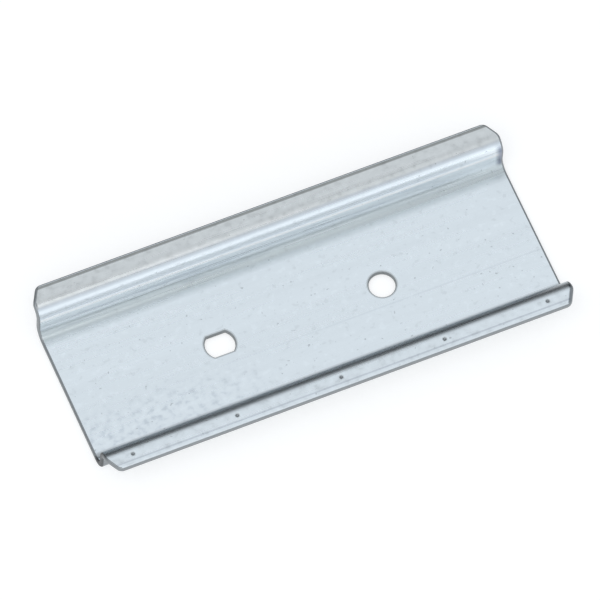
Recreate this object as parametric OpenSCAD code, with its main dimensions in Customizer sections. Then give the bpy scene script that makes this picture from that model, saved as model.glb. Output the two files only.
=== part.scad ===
// Short length of 35 mm top-hat mounting rail, formed from one strip of sheet steel.
// The rail runs along X and lies open side up: its web is on the floor and its flanges are on top.
// The origin is the centre of the web's underside.

/* [Section] */
// Overall width across the two flanges
rail_w = 35; // [34:0.5:50]
// Width of the hat, outside its two walls
hat_w = 27; // [20:0.5:27]
// Height from the underside of the web to the top of the flanges
rail_h = 7.5; // [6.5:0.5:15]
// Thickness of the sheet
sheet_t = 1; // [0.8:0.1:1.2]
// Inside radius of every bend
bend_r = 1.8; // [0.4:0.1:2]
// Rounding of the strip's long edges, top and bottom
edge_r = 0.35; // [0.1:0.05:0.35]

/* [Length] */
// Length of the rail
rail_l = 80.5; // [60:0.5:250]
// Length that each corner's slanting clip takes off a flange's long edge
clip_x = 1.5; // [0.5:0.1:3]
// Width that it takes off the flange's end, reaching into the bend
clip_y = 2.7; // [1:0.1:3]
// Rounding between the clip and the long edge
clip_r = 1.2; // [0.2:0.1:1.5]

/* [Fixing holes] */
// Distance between the two holes
hole_pitch = 28; // [15:0.5:48]
// Diameter of the round hole
hole_d = 4.3; // [3:0.1:5.5]
// Length of the flat-sided hole, along the rail
slot_l = 4.9; // [4:0.1:8]
// Distance between its two flats
slot_w = 3.7; // [3:0.1:3.9]
// Rounding of the holes' upper rims, left by the punch
rim_r = 0.4; // [0.1:0.05:0.5]
// How far the holes and marks sit from the middle of the length, as the rail is cut from a longer one
pattern_x = -0.2; // [-0.5:0.1:0.5]

/* [Module marks] */
// Distance from one mark to the next, which is one module of a mounted device
mark_pitch = 17.8; // [8:0.1:18]
// Least distance from an end of the rail to a mark
mark_end = 4; // [3:0.5:8]
// Distance from the flange's edge to the row of marks
mark_in = 2; // [1:0.1:2]
// Diameter of the punch's ball
mark_d = 0.9; // [0.8:0.1:1.2]
// Depth of each mark
mark_depth = 0.3; // [0.1:0.05:0.4]

/* [Hidden] */
$fn = 96;
cut = 1;
bend_out_r = bend_r + sheet_t;
// the bend from web to wall, and the bend from wall to flange
low_y = hat_w / 2 - bend_out_r;
high_y = hat_w / 2 + bend_r;
high_z = rail_h - bend_out_r;
flange_w = rail_w / 2 - high_y;
marks_each_side = floor((rail_l / 2 - mark_end) / mark_pitch);
// length of the clip's slanting line, and from its outer end to where the rounding meets it
clip_line = norm([clip_x, clip_y]);
clip_touch = clip_r * tan(atan(clip_y / clip_x) / 2);

// A quarter of a bend about its centre; sy and sz give the quadrant it lies in
module quarter_bend(sy, sz) {
    intersection() {
        difference() {
            circle(r = bend_out_r);
            circle(r = bend_r);
        }
        translate([sy < 0 ? -bend_out_r : 0, sz < 0 ? -bend_out_r : 0]) square(bend_out_r);
    }
}

// Flange from the end of its bend to its tip, with both long edges rounded
module flange() {
    square([flange_w - edge_r, sheet_t]);
    translate([0, edge_r]) square([flange_w, sheet_t - 2 * edge_r]);
    for (z = [edge_r, sheet_t - edge_r]) translate([flange_w - edge_r, z]) circle(r = edge_r);
}

// Half of the hat section, with Y across and Z up
module half_section() {
    square([low_y, sheet_t]);
    translate([low_y, bend_out_r]) quarter_bend(1, -1);
    translate([hat_w / 2 - sheet_t, bend_out_r]) square([sheet_t, high_z - bend_out_r]);
    translate([high_y, high_z]) quarter_bend(-1, 1);
    translate([high_y, rail_h - sheet_t]) flange();
}

module hat_section() {
    half_section();
    mirror([1, 0]) half_section();
}

// What a flange corner loses in plan, from the square corner at the origin
module corner_clip() {
    middle = [-clip_x - clip_touch, -clip_r];
    meets_line = [clip_touch * clip_x / clip_line - clip_x, -clip_touch * clip_y / clip_line];
    difference() {
        polygon([
            middle,
            meets_line,
            [0, -clip_y],
            [cut, -clip_y - cut * clip_y / clip_x],
            [cut, cut],
            [-clip_x - clip_touch, cut]
        ]);
        translate(middle) circle(r = clip_r);
    }
}

module corner_cuts() {
    for (mx = [0, 1], my = [0, 1])
        mirror([mx, 0, 0]) mirror([0, my, 0])
            translate([rail_l / 2, rail_w / 2, rail_h - sheet_t - cut])
                linear_extrude(height = sheet_t + 2 * cut) corner_clip();
}

// Section through one side of a punched hole, from its middle to its wall at r,
// opening out over the rounded upper rim
module punch_side(r) {
    translate([0, -cut]) square([r, sheet_t + cut]);
    difference() {
        translate([0, sheet_t - rim_r]) square([r + rim_r, rim_r + cut]);
        translate([r + rim_r, sheet_t - rim_r]) circle(r = rim_r);
    }
}

module round_hole() {
    translate([hole_pitch / 2, 0, 0]) rotate_extrude() punch_side(hole_d / 2);
}

// A round hole with two flats that run along the rail; its rim follows both
module flat_sided_hole() {
    translate([-hole_pitch / 2, 0, 0])
        intersection() {
            rotate_extrude() punch_side(slot_l / 2);
            rotate([90, 0, 90]) linear_extrude(height = 2 * slot_l, center = true) {
                punch_side(slot_w / 2);
                mirror([1, 0]) punch_side(slot_w / 2);
            }
        }
}

// As many marks as fit on each side of the middle one
module module_marks() {
    for (i = [-marks_each_side : marks_each_side])
        translate([i * mark_pitch, mark_in - rail_w / 2, rail_h + mark_d / 2 - mark_depth])
            sphere(d = mark_d);
}

module rail() {
    color([0.80, 0.83, 0.86])
        difference() {
            rotate([90, 0, 90]) linear_extrude(height = rail_l, center = true) hat_section();
            corner_cuts();
            translate([pattern_x, 0, 0]) {
                round_hole();
                flat_sided_hole();
                module_marks();
            }
        }
}

rail();
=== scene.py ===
import math

import bmesh
import bpy
from mathutils import Matrix, Vector


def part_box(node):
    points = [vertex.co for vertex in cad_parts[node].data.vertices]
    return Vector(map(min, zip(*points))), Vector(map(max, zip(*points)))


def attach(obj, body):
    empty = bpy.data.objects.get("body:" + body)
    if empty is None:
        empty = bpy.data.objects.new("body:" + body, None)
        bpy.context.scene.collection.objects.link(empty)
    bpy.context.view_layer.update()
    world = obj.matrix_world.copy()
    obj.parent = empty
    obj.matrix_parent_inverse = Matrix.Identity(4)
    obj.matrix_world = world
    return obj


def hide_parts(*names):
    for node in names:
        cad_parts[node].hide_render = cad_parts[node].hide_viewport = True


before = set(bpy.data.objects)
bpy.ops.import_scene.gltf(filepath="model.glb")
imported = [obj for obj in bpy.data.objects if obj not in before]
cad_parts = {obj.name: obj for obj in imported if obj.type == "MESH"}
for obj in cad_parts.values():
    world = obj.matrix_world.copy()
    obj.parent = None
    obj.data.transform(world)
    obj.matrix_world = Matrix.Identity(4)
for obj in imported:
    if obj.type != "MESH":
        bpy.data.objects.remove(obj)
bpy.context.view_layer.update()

# ---- Sizes, in metres; the rail runs along X, open side up, with its web on the floor ----
MM = 0.001
low, high = (Vector(corner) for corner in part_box("rail"))
# a hair shorter than the solid, so that the clips' rounding stays inside its box
LENGTH_SPARE = 0.01 * MM
LENGTH = high.x - low.x - LENGTH_SPARE
WIDTH = high.y - low.y
HEIGHT = high.z - low.z
SHEET = 1.0 * MM
HAT_WIDTH = 27.0 * MM
BEND_RADIUS = 1.8 * MM
BEND_STEPS = 20
CLIP_X = 1.5 * MM
CLIP_Y = 2.7 * MM
CLIP_ROUND = 1.2 * MM
CLIP_STEPS = 6
CLIP_EASE = 0.6 * MM

# the top surface of the web, and the axes of the two bends on each side
WEB_HALF = HAT_WIDTH / 2 - SHEET - BEND_RADIUS
LOW_BEND_Z = SHEET + BEND_RADIUS
HIGH_BEND_Y = HAT_WIDTH / 2 + BEND_RADIUS
HIGH_BEND_Z = HEIGHT - SHEET - BEND_RADIUS

# the holes and marks sit a little off the middle of the cut length
PATTERN_X = -0.2 * MM
HOLE_X = 14.0 * MM
HOLE_DIAMETER = 4.3 * MM
FLAT_HOLE_LENGTH = 4.9 * MM
FLAT_HOLE_WIDTH = 3.7 * MM
HOLE_STEPS = 48
HOLE_CELL = 4.0 * MM
RIM_ROUND = 0.4 * MM

EDGE_ROUND = 0.35 * MM
EDGE_STEPS = 5

# five marks punched along the near flange, and the fine line rolled beside its edge
MARK_PITCH = 17.8 * MM
MARK_STEPS_EACH_SIDE = 2
MARK_RADIUS = 0.42 * MM
MARK_STEPS = 20
MARK_Y = -15.5 * MM
MARK_CELL = 0.6 * MM
MARK_SEAT = 0.004 * MM
LINE_Y = -16.52 * MM
LINE_HALF = 0.14 * MM
LINE_DEPTH = 0.06 * MM

# how near two places are taken as the same, and how near two corners are merged
SAME = 0.0001 * MM
MERGE = 0.001 * MM
# an edge is square past this angle, and a face looks up past this share of its normal
SQUARE_ANGLE = math.radians(60)
FACES_UP = 0.9

# the materials of the cut faces, by their slot; slot 0 is the zinc plate
SHEARED_END, SLIT_EDGE, PUNCHED = 1, 2, 3
# the steps of a mark's bowl: the material slot of each, and how far inwards and down it goes in mm; the inner
# steps take the dark cut-metal colour, painted shade in the bowl's hollow
MARK_BOWL = (
    (PUNCHED, 0.04, 0.02),
    (PUNCHED, 0.09, 0.12),
    (SLIT_EDGE, 0.10, 0.10),
    (SLIT_EDGE, 0.09, 0.05),
)


# ---- Small helpers ----
def once(items):
    """The items in their own order, each only once; a set's order would change from run to run."""
    return list(dict.fromkeys(items))


def all_geometry(bm):
    return bm.verts[:] + bm.edges[:] + bm.faces[:]


def cut_across(bm, geometry, point, normal):
    """Cuts a line of edges into the geometry where the plane crosses it."""
    return bmesh.ops.bisect_plane(bm, geom=geometry, plane_co=point, plane_no=normal, dist=SAME)


def face_at(bm, centre):
    """The face whose middle is nearest to a point."""
    return min(bm.faces, key=lambda f: (f.calc_center_median() - Vector(centre)).length)


def with_edges(faces):
    """The faces together with their edges and corners."""
    edges = once(e for f in faces for e in f.edges)
    verts = once(v for f in faces for v in f.verts)
    return verts + edges + faces


def moved(bm, items, offset):
    verts = [v for v in items if isinstance(v, bmesh.types.BMVert)]
    bmesh.ops.translate(bm, verts=verts, vec=offset)
    return [e for e in items if isinstance(e, bmesh.types.BMEdge)]


# ---- The rail ----
def web_blank():
    """The web's top surface, a flat rectangle."""
    bm = bmesh.new()
    size = Matrix.Diagonal((LENGTH, 2 * WEB_HALF, 1, 1))
    place = Matrix.Translation((0, 0, SHEET))
    bmesh.ops.create_grid(bm, x_segments=1, y_segments=1, size=0.5, matrix=place @ size)
    return bm


def hole_outline(bm, centre, diameter, flat_width):
    """A wire ring for a hole, round or with two flats along the rail."""
    made = bmesh.ops.create_circle(bm, cap_ends=True, segments=HOLE_STEPS, radius=diameter / 2,
                                   matrix=Matrix.Translation(centre))
    disc = made["verts"][0].link_faces[0]
    if flat_width < diameter:
        for side in (1, -1):
            bmesh.ops.bisect_plane(bm, geom=disc.verts[:] + disc.edges[:] + [disc], dist=SAME,
                                   plane_co=centre + Vector((0, side * flat_width / 2, 0)),
                                   plane_no=(0, side, 0), clear_outer=True)
            disc = face_at(bm, centre)
    ring = disc.edges[:]
    bmesh.ops.delete(bm, geom=[disc], context="FACES_ONLY")
    flats = [e for e in ring if e.calc_length() > 4 * diameter / HOLE_STEPS]
    if flats:
        cuts = (HOLE_STEPS - len(ring)) // len(flats)
        split = bmesh.ops.subdivide_edges(bm, edges=flats, cuts=cuts)
        ring = [e for e in ring if e not in flats]
        ring += [e for e in split["geom_split"] if isinstance(e, bmesh.types.BMEdge)]
    return ring


def punch_hole(bm, x, diameter, flat_width):
    """Opens a square cell of the web and bridges it to the hole's outline, which lies lower until joined."""
    centre = Vector((x, 0, SHEET))
    cell = face_at(bm, centre)
    corners = cell.edges[:]
    bmesh.ops.delete(bm, geom=[cell], context="FACES_ONLY")
    sides = bmesh.ops.subdivide_edges(bm, edges=corners, cuts=HOLE_STEPS // 4 - 1)
    around = [e for e in sides["geom_split"] if isinstance(e, bmesh.types.BMEdge)]
    ring = hole_outline(bm, centre - Vector((0, 0, SHEET)), diameter, flat_width)
    bmesh.ops.bridge_loops(bm, edges=around + ring)
    bmesh.ops.translate(bm, verts=once(v for e in ring for v in e.verts), vec=(0, 0, SHEET))


def punched_web():
    bm = web_blank()
    round_x, flat_x = PATTERN_X + HOLE_X, PATTERN_X - HOLE_X
    for x in (round_x, flat_x):
        for side in (-1, 1):
            cut_across(bm, all_geometry(bm), (x + side * HOLE_CELL, 0, 0), (1, 0, 0))
    for side in (-1, 1):
        cut_across(bm, all_geometry(bm), (0, side * HOLE_CELL, 0), (0, 1, 0))
    punch_hole(bm, round_x, HOLE_DIAMETER, HOLE_DIAMETER)
    punch_hole(bm, flat_x, FLAT_HOLE_LENGTH, FLAT_HOLE_WIDTH)
    return bm


def form_side(bm, side):
    """Bends one wall up from the web's long edge and one flange out from the wall's top."""
    edges = [e for e in bm.edges if all(abs(v.co.y - side * WEB_HALF) < SAME for v in e.verts)]
    spun = bmesh.ops.spin(bm, geom=edges, cent=(0, side * WEB_HALF, LOW_BEND_Z), axis=(side, 0, 0),
                          angle=math.pi / 2, steps=BEND_STEPS, use_duplicate=False)
    edges = [e for e in spun["geom_last"] if isinstance(e, bmesh.types.BMEdge)]
    wall = bmesh.ops.extrude_edge_only(bm, edges=edges)
    edges = moved(bm, wall["geom"], (0, 0, HIGH_BEND_Z - LOW_BEND_Z))
    spun = bmesh.ops.spin(bm, geom=edges, cent=(0, side * HIGH_BEND_Y, HIGH_BEND_Z), axis=(-side, 0, 0),
                          angle=math.pi / 2, steps=BEND_STEPS, use_duplicate=False)
    edges = [e for e in spun["geom_last"] if isinstance(e, bmesh.types.BMEdge)]
    flange = bmesh.ops.extrude_edge_only(bm, edges=edges)
    moved(bm, flange["geom"], (0, side * (WIDTH / 2 - HIGH_BEND_Y), 0))


def clip_depth(y):
    """How far a flange's end lies back at a place across the rail; the slant eases into the square end."""
    slope = CLIP_X / CLIP_Y
    past = abs(y) - (WIDTH / 2 - CLIP_Y - CLIP_EASE)
    if past < 2 * CLIP_EASE:
        return slope * max(past, 0) ** 2 / (4 * CLIP_EASE)
    return slope * (past - CLIP_EASE)


def clip_corners(bm):
    """Slides the ends of the flanges and bends back to a slant, and rounds it to the long edge."""
    ends = [v for v in bm.verts if abs(abs(v.co.x) - LENGTH / 2) < SAME and v.co.z > HEIGHT - SHEET]
    for vert in ends:
        back = clip_depth(vert.co.y)
        bmesh.ops.translate(bm, verts=[vert], vec=(-math.copysign(back, vert.co.x), 0, 0))
    outer = [v for v in bm.verts if abs(abs(v.co.y) - WIDTH / 2) < SAME
             and abs(abs(v.co.x) - (LENGTH / 2 - CLIP_X)) < MERGE]
    touch = CLIP_ROUND * math.tan(math.atan2(CLIP_Y, CLIP_X) / 2)
    bmesh.ops.bevel(bm, geom=outer, offset=touch, offset_type="OFFSET", segments=CLIP_STEPS, profile=0.5,
                    affect="VERTICES", material=-1)


def thicken(bm):
    """Gives the surface the sheet's thickness, downwards and outwards from the trough."""
    bmesh.ops.recalc_face_normals(bm, faces=bm.faces[:])
    if face_at(bm, (0, 0, SHEET)).normal.z < 0:
        bmesh.ops.reverse_faces(bm, faces=bm.faces[:])
    bmesh.ops.solidify(bm, geom=bm.faces[:], thickness=SHEET)
    bmesh.ops.remove_doubles(bm, verts=bm.verts[:], dist=MERGE)
    bmesh.ops.recalc_face_normals(bm, faces=bm.faces[:])


def square_edges(bm):
    """The edges that shearing and punching left, before they are rounded."""
    return [e for e in bm.edges if len(e.link_faces) == 2 and e.calc_face_angle() > SQUARE_ANGLE]


def at_a_hole(point):
    return abs(point.y) < HOLE_CELL and abs(point.x) < LENGTH / 2 - HOLE_CELL


def material_at(point):
    """Punched at the holes, sheared across the ends, and slit along the two long edges."""
    if at_a_hole(point):
        return PUNCHED
    return SLIT_EDGE if abs(point.y) > WIDTH / 2 - EDGE_ROUND else SHEARED_END


def mark_cut_faces(bm):
    """Gives the cut faces their own material: each lies between two square edges."""
    square = set(square_edges(bm))
    for face in bm.faces:
        if sum(1 for e in face.edges if e in square) == 2 and len(face.verts) == 4:
            face.material_index = material_at(face.calc_center_median())


def round_edges(bm, edges, radius):
    made = bmesh.ops.bevel(bm, geom=edges, offset=radius, offset_type="OFFSET", segments=EDGE_STEPS,
                           profile=0.5, affect="EDGES", material=-1, clamp_overlap=False)
    for face in made["faces"]:
        face.material_index = material_at(face.calc_center_median())
    bm.normal_update()


def round_cut_edges(bm):
    """Rounds the holes' upper rims most, and then every other cut edge."""
    def on_rim(edge):
        middle = (edge.verts[0].co + edge.verts[1].co) / 2
        return at_a_hole(middle) and middle.z > SHEET / 2

    round_edges(bm, [e for e in square_edges(bm) if on_rim(e)], RIM_ROUND)
    round_edges(bm, square_edges(bm), EDGE_ROUND)


def near_flange(bm, low_corner, high_corner):
    """The upper faces of the near flange whose middles lie between two corners in plan."""
    def inside(face):
        middle = face.calc_center_median()
        in_plan = low_corner[0] < middle.x < high_corner[0] and low_corner[1] < middle.y < high_corner[1]
        return in_plan and face.normal.z > FACES_UP and middle.z > HEIGHT - SHEET / 2

    return [f for f in bm.faces if inside(f)]


def roll_line(bm):
    """Presses the fine line into the near flange, along its whole length."""
    for y in (LINE_Y - LINE_HALF, LINE_Y, LINE_Y + LINE_HALF):
        flat = near_flange(bm, (-LENGTH, -WIDTH / 2), (LENGTH, -HIGH_BEND_Y))
        cut_across(bm, with_edges(flat), (0, y, 0), (0, 1, 0))
    sunk = [v for v in bm.verts if abs(v.co.y - LINE_Y) < SAME and v.co.z > HEIGHT - EDGE_ROUND]
    bmesh.ops.translate(bm, verts=sunk, vec=(0, 0, -LINE_DEPTH))
    bm.normal_update()


def punch_mark(bm, x):
    """Opens a small square cell, bridges it to a ring and sinks the ring's disc in steps to a bowl."""
    centre = Vector((x, MARK_Y, HEIGHT))
    beside_line, past_bend = LINE_Y + LINE_HALF, MARK_Y + 2 * MARK_CELL
    for side in (-1, 1):
        band = near_flange(bm, (-LENGTH, beside_line), (LENGTH, past_bend))
        cut_across(bm, with_edges(band), centre + Vector((side * MARK_CELL, 0, 0)), (1, 0, 0))
    for side in (-1, 1):
        column = near_flange(bm, (x - MARK_CELL, beside_line), (x + MARK_CELL, past_bend))
        cut_across(bm, with_edges(column), centre + Vector((0, side * MARK_CELL, 0)), (0, 1, 0))
    cell = near_flange(bm, (x - MARK_CELL, MARK_Y - MARK_CELL), (x + MARK_CELL, MARK_Y + MARK_CELL))
    sides = once(e for f in cell for e in f.edges)
    outline = [e for e in sides if sum(1 for f in e.link_faces if f in cell) == 1]
    bmesh.ops.delete(bm, geom=cell, context="FACES")
    ring = bmesh.ops.create_circle(bm, cap_ends=False, segments=MARK_STEPS, radius=MARK_RADIUS,
                                   matrix=Matrix.Translation(centre - Vector((0, 0, SHEET))))["verts"]
    edges = once(e for v in ring for e in v.link_edges)
    bmesh.ops.bridge_loops(bm, edges=outline + edges)
    bmesh.ops.translate(bm, verts=ring, vec=(0, 0, SHEET - MARK_SEAT))
    bowl = bmesh.ops.edgeloop_fill(bm, edges=edges)["faces"]
    bmesh.ops.recalc_face_normals(bm, faces=bm.faces[:])
    for kind, inward, down in MARK_BOWL:
        rim = bmesh.ops.inset_individual(bm, faces=bowl, thickness=inward * MM, depth=-down * MM,
                                         use_even_offset=True)
        for face in rim["faces"] + bowl:
            face.material_index = kind


def finish_mesh(bm, name):
    mesh = bpy.data.meshes.new(name)
    for face in bm.faces:
        face.smooth = True
    bm.to_mesh(mesh)
    bm.free()
    piece = bpy.data.objects.new(name, mesh)
    bpy.context.scene.collection.objects.link(piece)
    return piece


def make_rail():
    bm = punched_web()
    for side in (-1, 1):
        form_side(bm, side)
    clip_corners(bm)
    thicken(bm)
    mark_cut_faces(bm)
    round_cut_edges(bm)
    roll_line(bm)
    for step in range(-MARK_STEPS_EACH_SIDE, MARK_STEPS_EACH_SIDE + 1):
        punch_mark(bm, PATTERN_X + step * MARK_PITCH)
    return finish_mesh(bm, "formed_rail")


rail = make_rail()


# ---- Materials ----
PLATE_COLOUR = (0.86, 0.91, 0.94)
WORN_WEB = (0.86, 0.87, 0.89)
WEB_LINE = (0.93, 0.93, 0.94)
# painted shade: the web darkened in a band along the foot of the near wall
WEB_FOOT_PAINTED_SHADE = (0.60, 0.60, 0.60)
PATCHY_FLANGE = (0.93, 0.93, 0.93)
# painted shade: the far flange and the top of its bend darkened and warmed, standing in for their dimmer
# reflection
FAR_FLANGE_PAINTED_SHADE = (0.86, 0.83, 0.80)
# a painted dark band in the reflection of the far upper bend
FAR_BEND_PAINTED_DARK_BAND = (0.86, 0.88, 0.92)
# painted dark reflection at the clipped flange ends, near right and far left
FLANGE_END_PAINTED_SHADE = (0.28, 0.29, 0.30)
# painted dark reflection along the far flange's outer edge
FAR_RIM_PAINTED_SHADE = (0.48, 0.48, 0.47)
ROLLED_LINE = (0.80, 0.80, 0.82)
DRAWN_WALL = (0.86, 0.87, 0.89)
# a painted dark band in the far wall's reflection
FAR_WALL_PAINTED_DARK_BAND = (0.88, 0.88, 0.89)
# a painted highlight: a band of the far wall brightened past the plate's own colour
FAR_WALL_PAINTED_HIGHLIGHT = (1.16, 1.09, 1.05)
# painted shade in the far side's lower, inner bend and the web beside it
FAR_INNER_BEND_PAINTED_SHADE = (0.66, 0.68, 0.67)
# painted shade on the near wall and the inner part of its upper bend
NEAR_BEND_PAINTED_SHADE = (0.55, 0.56, 0.57)
# a painted dark band in the reflection of the near upper bend
NEAR_BEND_PAINTED_DARK_BAND = (0.58, 0.58, 0.58)
# painted dark reflection on the far wall and its bends close to the right end
FAR_WALL_END_PAINTED_SHADE = (0.36, 0.38, 0.45)
# bare cut metal, made darker than bare steel as a painted dark reflection along the cut edges
CUT_METAL_AND_PAINTED_SHADE = (0.30, 0.315, 0.325)
# painted shade on the cut end under the near wall's foot
NEAR_FOOT_PAINTED_SHADE = (0.09, 0.095, 0.10)
# the punched wall inside the holes: partly bare punched metal, partly painted shade
PUNCHED_WALL_AND_PAINTED_SHADE = (0.29, 0.305, 0.31)
PUNCHED_RIM = (0.60, 0.64, 0.66)

# how metallic the far wall and bend are, where they are satin
SATIN_WALL = 0.5
PLATE_ROUGHNESS = (0.26, 0.33)
CUT_ROUGHNESS = (0.38, 0.52)
RELIEF_STRENGTH = 0.2
RELIEF_DEPTH = 0.02 * MM
PIT_DEPTH = 2.0

# each noise's frequency along X, Y and Z, per metre, and its detail
NOISES = {
    "streaks": ((40, 2600, 2600), 3),
    "bands": ((9, 420, 420), 2),
    "blotches": ((780, 900, 900), 3),
    "specks": ((1300, 1500, 1500), 1),
    "drawn": ((110, 1500, 1500), 3),
}
CUT_GRAIN = ((900, 900, 3000), 2)
NOISE_MIDDLE = (0.3, 0.7)

# how the noises lighten or darken the plate: between two levels of the noise, from one factor to another
PLATE_TONES = (
    ("streaks", NOISE_MIDDLE, (0.99, 1.01)),
    ("bands", NOISE_MIDDLE, (0.98, 1.02)),
    ("blotches", (0.34, 0.42), (1.04, 1.0)),
    ("blotches", (0.60, 0.70), (1.0, 0.92)),
    ("specks", (0.74, 0.79), (1.0, 0.72)),
)


def band(name, middle, half, fade):
    """The two ramps that hold a tint to a band, one up to it and one down from it."""
    rising = (name, middle - half - fade, middle - half + fade)
    falling = (name, middle + half + fade, middle + half - fade)
    return rising, falling


# A ramp reads one thing and goes from nothing at its first value to all at its second. Places are in mm:
# x, y and z, beside (y on either side), and right and left (out to an end, with the clips straightened).
PLACES = ("x", "y", "z", "beside", "right", "left")
END = LENGTH / 2 / MM
PATCHES = ("blotches", 0.48, 0.62)
FAR_BEND = (("z", 6.5, 6.1), ("y", 11.6, 11.9))
FAR_WALL = ("y", 12.0, 12.3)

# each tint of the plate, with the ramps that are multiplied to place it; besides real wear, patches and
# lines, most tints are painted shade, painted dark reflection bands or a painted highlight
PLATE_TINTS = (
    (WORN_WEB, ("x", -6.0, -22.0), ("y", -2.0, -8.0), ("y", -10.6, -10.0), PATCHES),
    (PATCHY_FLANGE, ("y", 13.6, 14.0), PATCHES),
    (PATCHY_FLANGE, ("y", -14.6, -15.0), PATCHES),
    (DRAWN_WALL, *FAR_BEND, ("z", 4.6, 4.2), ("drawn", 0.48, 0.62)),
    # painted shade standing in for the far flange's dimmer reflection
    (FAR_FLANGE_PAINTED_SHADE, ("y", 13.3, 13.8)),
    # painted dark reflection band in the far upper bend
    (FAR_BEND_PAINTED_DARK_BAND, *band("y", 13.68, 0.26, 0.15)),
    # painted shade in the far lower bend
    (FAR_INNER_BEND_PAINTED_SHADE, ("y", 9.6, 11.4), ("z", 2.5, 1.8)),
    # painted shade on the near wall and its upper bend
    (NEAR_BEND_PAINTED_SHADE, ("y", -14.25, -13.75), ("y", -11.9, -12.4)),
    # painted dark reflection band on the near upper bend
    (NEAR_BEND_PAINTED_DARK_BAND, *band("y", -13.62, 0.32, 0.2)),
    # painted shade along the foot of the near wall
    (WEB_FOOT_PAINTED_SHADE, *band("y", -10.85, 0.42, 0.2)),
    # painted dark reflection band on the far wall
    (FAR_WALL_PAINTED_DARK_BAND, *band("z", 5.62, 0.2, 0.15), FAR_WALL),
    # painted highlight band on the far wall
    (FAR_WALL_PAINTED_HIGHLIGHT, *band("z", 4.95, 0.3, 0.15), FAR_WALL),
    (WEB_LINE, *band("y", -3.7, 0.12, 0.08), ("bands", 0.42, 0.55)),
    # painted dark reflection along the far flange's outer edge
    (FAR_RIM_PAINTED_SHADE, ("y", 16.6, 16.8)),
    (ROLLED_LINE, *band("y", LINE_Y / MM, 0.14, 0.04), ("z", 6.9, 7.2)),
    # painted dark reflection at the near flange's right end and the far flange's left end
    (FLANGE_END_PAINTED_SHADE, ("right", END - 0.8, END - 0.55), ("y", -13.6, -14.2)),
    (FLANGE_END_PAINTED_SHADE, ("left", END - 0.65, END - 0.4), ("y", 13.6, 14.2)),
    # painted dark reflection on the far wall near the right end
    (FAR_WALL_END_PAINTED_SHADE, ("x", END - 1.5, END - 0.7), ("y", 11.9, 12.3), ("z", 6.9, 6.0), ("z", 1.4, 2.2)),
)

# the sheared end where the web turns up into the near wall, darkened there with painted shade
FOOT = (("y", -10.5, -11.5), ("y", -14.6, -13.2))
# the upper part of the rounding along both long edges, which keeps the plate's colour while the rest of the
# cut edge is darkened
LONG_EDGES = (("beside", 16.6, 16.9), ("z", 7.455, 7.495))
# the shallow upper part of a hole's rounded rim, and a mark's lip, which keep a lighter colour while the
# punched wall below is darkened with painted shade
UPPER_RIM = (("z", 0.92, 0.97),)

# a Mix node's colour sockets
MIX_FIRST, MIX_SECOND, MIX_RESULT = 6, 7, 2


def connect(tree, value, socket):
    if isinstance(value, bpy.types.NodeSocket):
        tree.links.new(value, socket)
    else:
        socket.default_value = value


def node(tree, kind, **inputs):
    """Adds a node and sets or links its inputs by name."""
    made = tree.nodes.new(kind)
    for name, value in inputs.items():
        connect(tree, value, made.inputs[name])
    return made


def new_material(name):
    material = bpy.data.materials.new(name)
    material.use_nodes = True
    tree = material.node_tree
    return material, tree, tree.nodes["Principled BSDF"]


def stretched_noise(tree, scale, detail):
    """Noise on object coordinates, with its own frequency along each axis."""
    place = node(tree, "ShaderNodeTexCoord").outputs["Object"]
    mapping = node(tree, "ShaderNodeMapping", Vector=place, Scale=scale)
    made = node(tree, "ShaderNodeTexNoise", Vector=mapping.outputs["Vector"], Scale=1.0, Detail=detail)
    return made.outputs["Fac"]


def remap(tree, value, levels, results):
    """Turns one pair of levels into another, and holds it past both."""
    made = node(tree, "ShaderNodeMapRange", Value=value)
    for name, number in zip(("From Min", "From Max", "To Min", "To Max"), (*levels, *results)):
        made.inputs[name].default_value = number
    return made.outputs["Result"]


def math_node(tree, operation, first, second=0.0):
    made = tree.nodes.new("ShaderNodeMath")
    made.operation = operation
    connect(tree, first, made.inputs[0])
    connect(tree, second, made.inputs[1])
    return made.outputs["Value"]


def mixed(tree, blend, share, first, second):
    """Blends two colours as far as the share says."""
    made = tree.nodes.new("ShaderNodeMix")
    made.data_type = "RGBA"
    made.blend_type = blend
    connect(tree, share, made.inputs["Factor"])
    connect(tree, first, made.inputs[MIX_FIRST])
    connect(tree, second, made.inputs[MIX_SECOND])
    return made.outputs[MIX_RESULT]


def places(tree):
    """The places that ramps read, in metres."""
    place = node(tree, "ShaderNodeSeparateXYZ", Vector=node(tree, "ShaderNodeTexCoord").outputs["Object"])
    reads = {axis.lower(): place.outputs[axis] for axis in "XYZ"}
    reads["beside"] = math_node(tree, "ABSOLUTE", reads["y"])
    past_clip = math_node(tree, "SUBTRACT", reads["beside"], WIDTH / 2 - CLIP_Y)
    slanted = math_node(tree, "MULTIPLY", math_node(tree, "MAXIMUM", past_clip), CLIP_X / CLIP_Y)
    for name, way in (("right", 1.0), ("left", -1.0)):
        reads[name] = math_node(tree, "ADD", math_node(tree, "MULTIPLY", reads["x"], way), slanted)
    return reads


def share_of(tree, reads, ramps):
    """How far a tint shows: the product of its ramps."""
    share = 1.0
    for name, start, full in ramps:
        unit = MM if name in PLACES else 1.0
        ramp = remap(tree, reads[name], (start * unit, full * unit), (0.0, 1.0))
        share = math_node(tree, "MULTIPLY", share, ramp)
    return share


def plate_colour(tree, reads):
    """The plate's colour, toned by the noises and then tinted from place to place, many tints being painted
    shade, painted reflection bands and a painted highlight.
    """
    tone = 1.0
    for name, levels, factors in PLATE_TONES:
        tone = math_node(tree, "MULTIPLY", tone, remap(tree, reads[name], levels, factors))
    plate = node(tree, "ShaderNodeVectorMath", Vector=PLATE_COLOUR)
    plate.operation = "SCALE"
    connect(tree, tone, plate.inputs["Scale"])
    colour = plate.outputs["Vector"]
    for tint, *ramps in PLATE_TINTS:
        colour = mixed(tree, "MULTIPLY", share_of(tree, reads, ramps), colour, (*tint, 1))
    return colour


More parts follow.
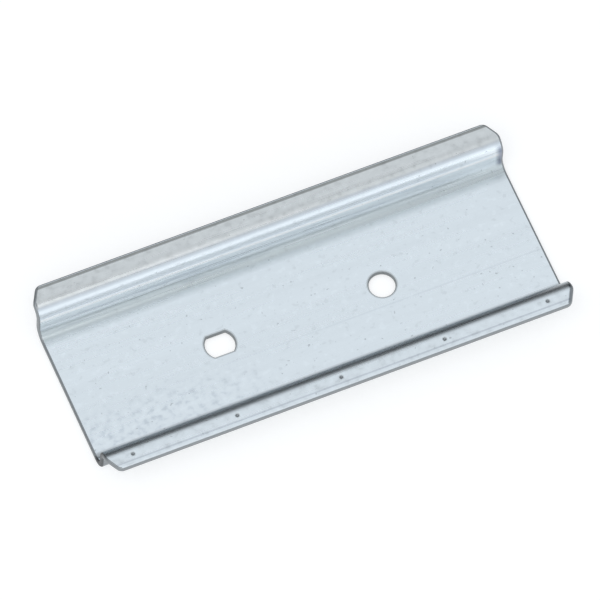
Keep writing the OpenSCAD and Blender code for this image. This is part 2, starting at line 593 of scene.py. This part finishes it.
def zinc_plate():
    material, tree, shader = new_material("bright_zinc_plate")
    reads = places(tree)
    for name, (scale, detail) in NOISES.items():
        reads[name] = stretched_noise(tree, scale, detail)
    connect(tree, plate_colour(tree, reads), shader.inputs["Base Color"])
    satin = share_of(tree, reads, FAR_BEND)
    connect(tree, remap(tree, satin, (0.0, 1.0), (1.0, SATIN_WALL)), shader.inputs["Metallic"])
    connect(tree, remap(tree, reads["streaks"], NOISE_MIDDLE, PLATE_ROUGHNESS), shader.inputs["Roughness"])
    pits = remap(tree, reads["specks"], (0.70, 0.76), (0.0, -PIT_DEPTH))
    relief = math_node(tree, "ADD", reads["streaks"], pits)
    bump = node(tree, "ShaderNodeBump", Strength=RELIEF_STRENGTH, Distance=RELIEF_DEPTH, Height=relief)
    connect(tree, bump.outputs["Normal"], shader.inputs["Normal"])
    return material


def cut_edge(name, metallic, colour, second_colour, ramps):
    """Bare cut metal whose dark colour is partly painted dark reflection or shade, with a second colour where
    the ramps say.
    """
    material, tree, shader = new_material(name)
    share = share_of(tree, places(tree), ramps)
    connect(tree, mixed(tree, "MIX", share, (*colour, 1), (*second_colour, 1)), shader.inputs["Base Color"])
    shader.inputs["Metallic"].default_value = metallic
    grain = stretched_noise(tree, *CUT_GRAIN)
    connect(tree, remap(tree, grain, NOISE_MIDDLE, CUT_ROUGHNESS), shader.inputs["Roughness"])
    return material


rail.data.materials.append(zinc_plate())
# the cut faces: partly bare metal, partly painted dark reflection and shade
rail.data.materials.append(cut_edge("sheared_end", 1.0, CUT_METAL_AND_PAINTED_SHADE, NEAR_FOOT_PAINTED_SHADE, FOOT))
rail.data.materials.append(cut_edge("slit_edge", 1.0, CUT_METAL_AND_PAINTED_SHADE, PLATE_COLOUR, LONG_EDGES))
# punched walls: dark below as painted shade, lighter at the upper rim
rail.data.materials.append(cut_edge("punched_edge", 0.0, PUNCHED_WALL_AND_PAINTED_SHADE, PUNCHED_RIM, UPPER_RIM))
weighted = rail.modifiers.new("flat_faces", "WEIGHTED_NORMAL")
weighted.keep_sharp = False
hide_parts("rail")
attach(rail, "root")


# ---- Floor, light and camera ----
WHITE = (1, 1, 1, 1)
FLOOR_RADIUS = 4.0
FLOOR_SIDES = 96
FLOOR_GREY = (0.5, 0.5, 0.5, 1)
FLOOR_GLOW = 0.6
# the floor lies a little below the web's underside, so the two faces never share a plane
FLOOR_GAP = 0.02 * MM

# the studio's brightness at some angles in degrees, from the front horizon over the top to the back one
FRONT_CARD = ((0, 1.4), (20, 1.0))
CEILING = ((60, 0.7), (90, 0.7))
BACK_CARD = ((120, 0.85), (135, 0.7))
DARK_BACK = ((150, 0.2), (160, 0.05))
STUDIO_TONES = FRONT_CARD + CEILING + BACK_CARD + DARK_BACK
STUDIO_TINT = (0.945, 1.0, 1.05)

SOFTBOX_WIDTH = 0.6
SOFTBOX_DEPTH = 0.4
SOFTBOX_WATTS = 1.5
SOFTBOX_PLACE = (-0.25, -0.25, 0.7)

ELEVATION = math.radians(63.09)
AZIMUTH = math.radians(26.9)
ROLL = math.radians(-4.22)
DISTANCE = 1.6935
VIEW_WIDTH = 0.09533
AIM_ACROSS = -0.347 * MM
AIM_UP = 2.606 * MM
SENSOR_WIDTH = 36.0
NEAR_LIMIT = 0.05
FAR_LIMIT = 20


def make_floor():
    """A white floor to the camera and to reflections, which lights the rail from below only as a grey one."""
    bm = bmesh.new()
    bmesh.ops.create_circle(bm, cap_ends=True, segments=FLOOR_SIDES, radius=FLOOR_RADIUS,
                            matrix=Matrix.Translation((0, 0, -FLOOR_GAP)))
    floor = finish_mesh(bm, "studio_floor")
    material, tree, shader = new_material("white_floor")
    shader.inputs["Base Color"].default_value = FLOOR_GREY
    shader.inputs["Roughness"].default_value = 1.0
    shader.inputs["Specular IOR Level"].default_value = 0.0
    path = node(tree, "ShaderNodeLightPath")
    seen = math_node(tree, "MAXIMUM", path.outputs["Is Camera Ray"], path.outputs["Is Glossy Ray"])
    seen = math_node(tree, "MAXIMUM", seen, path.outputs["Is Transmission Ray"])
    shader.inputs["Emission Color"].default_value = WHITE
    connect(tree, math_node(tree, "MULTIPLY", seen, FLOOR_GLOW), shader.inputs["Emission Strength"])
    floor.data.materials.append(material)


def make_world():
    """A studio that changes only across the rail, with the angle about the rail's length."""
    world = bpy.data.worlds.new("studio")
    bpy.context.scene.world = world
    world.use_nodes = True
    tree = world.node_tree
    direction = node(tree, "ShaderNodeTexCoord").outputs["Generated"]
    split = node(tree, "ShaderNodeSeparateXYZ", Vector=direction)
    front = math_node(tree, "MULTIPLY", split.outputs["Y"], -1.0)
    height = math_node(tree, "MAXIMUM", split.outputs["Z"])
    angle = math_node(tree, "ARCTAN2", height, front)
    ramp = node(tree, "ShaderNodeValToRGB", Fac=math_node(tree, "MULTIPLY", angle, 1 / math.pi))
    ramp.color_ramp.interpolation = "EASE"
    stops = ramp.color_ramp.elements
    for index, (degrees, grey) in enumerate(STUDIO_TONES):
        place = degrees / 180
        # a new ramp already has two stops
        stop = stops[index] if index < 2 else stops.new(place)
        stop.position = place
        stop.color = [grey * share for share in STUDIO_TINT] + [1]
    background = tree.nodes["Background"]
    connect(tree, ramp.outputs["Color"], background.inputs["Color"])
    background.inputs["Strength"].default_value = 1.0


def make_softbox():
    light = bpy.data.lights.new("overhead_softbox", "AREA")
    light.shape = "RECTANGLE"
    light.size = SOFTBOX_WIDTH
    light.size_y = SOFTBOX_DEPTH
    light.energy = SOFTBOX_WATTS
    lamp = bpy.data.objects.new("overhead_softbox", light)
    bpy.context.scene.collection.objects.link(lamp)
    spot = Vector(SOFTBOX_PLACE)
    lamp.matrix_world = Matrix.Translation(spot) @ spot.to_track_quat("Z", "Y").to_matrix().to_4x4()


def make_camera():
    """A long lens on the aim point, turned by its roll about the line of sight."""
    level_reach = math.cos(ELEVATION)
    away = Vector((-level_reach * math.sin(AZIMUTH), -level_reach * math.cos(AZIMUTH), math.sin(ELEVATION)))
    level = Vector((0, 0, 1)).cross(away).normalized()
    upright = away.cross(level)
    across = level * math.cos(ROLL) - upright * math.sin(ROLL)
    up = level * math.sin(ROLL) + upright * math.cos(ROLL)
    aim = across * AIM_ACROSS + up * AIM_UP
    data = bpy.data.cameras.new("studio_camera")
    data.sensor_width = SENSOR_WIDTH
    data.lens = SENSOR_WIDTH * DISTANCE / VIEW_WIDTH
    data.clip_start = NEAR_LIMIT
    data.clip_end = FAR_LIMIT
    camera = bpy.data.objects.new("studio_camera", data)
    bpy.context.scene.collection.objects.link(camera)
    turn = Matrix((across, up, away)).transposed().to_4x4()
    camera.matrix_world = Matrix.Translation(aim + away * DISTANCE) @ turn
    bpy.context.scene.camera = camera


make_floor()
make_world()
make_softbox()
make_camera()
bpy.context.scene.view_settings.view_transform = "Standard"
